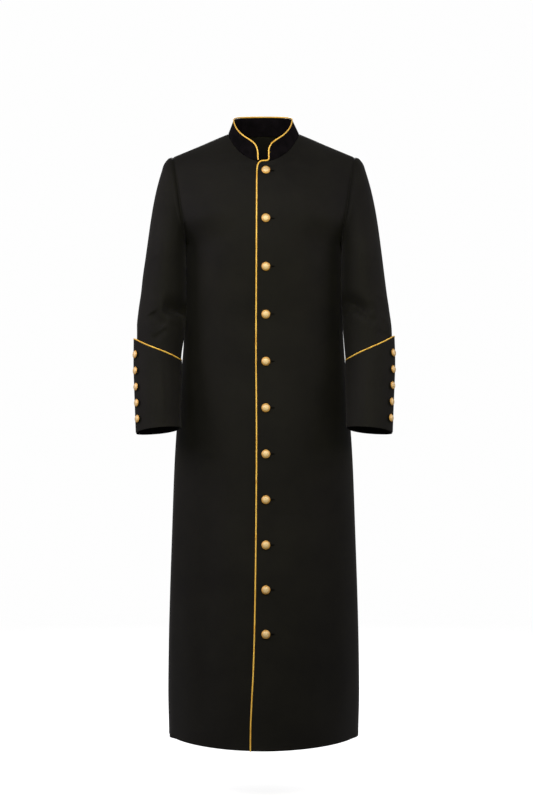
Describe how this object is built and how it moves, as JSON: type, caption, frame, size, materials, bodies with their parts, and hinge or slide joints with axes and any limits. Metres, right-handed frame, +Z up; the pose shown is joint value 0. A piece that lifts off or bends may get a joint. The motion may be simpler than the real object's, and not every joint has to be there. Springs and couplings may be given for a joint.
{
  "type": "cassock",
  "caption": "Full-length black cassock with a stand collar, a buttoned front, long buttoned cuffs and gold cord piping, hollow as worn.",
  "frame": {"origin": "midway between the two side neck points, where the garment hangs from the wearer's shoulders", "axes": "+Z up, the front faces -Y and the wearer's left is +X"},
  "size_m": [0.6148, 0.442, 1.4865],
  "materials": {
    "wool": "matt black wool barathea",
    "collar_cloth": "matt black velvet-like cloth",
    "gold_cord": "satin gold cord",
    "gold_metal": "satin gold"
  },
  "bodies": {
    "root": {"front_left": "wool", "front_right": "wool", "back": "wool", "sleeve_left": "wool", "sleeve_right": "wool", "cuff_left": "wool", "cuff_right": "wool", "collar": "collar_cloth", "edge_piping": "gold_cord", "cuff_piping_left": "gold_cord", "cuff_piping_right": "gold_cord", "button_front_01": "gold_metal", "button_front_02": "gold_metal", "button_front_03": "gold_metal", "button_front_04": "gold_metal", "button_front_05": "gold_metal", "button_front_06": "gold_metal", "button_front_07": "gold_metal", "button_front_08": "gold_metal", "button_front_09": "gold_metal", "button_front_10": "gold_metal", "button_front_11": "gold_metal", "button_cuff_left_1": "gold_metal", "button_cuff_left_2": "gold_metal", "button_cuff_left_3": "gold_metal", "button_cuff_left_4": "gold_metal", "button_cuff_left_5": "gold_metal", "button_cuff_right_1": "gold_metal", "button_cuff_right_2": "gold_metal", "button_cuff_right_3": "gold_metal", "button_cuff_right_4": "gold_metal", "button_cuff_right_5": "gold_metal"}
  },
  "joints": []
}
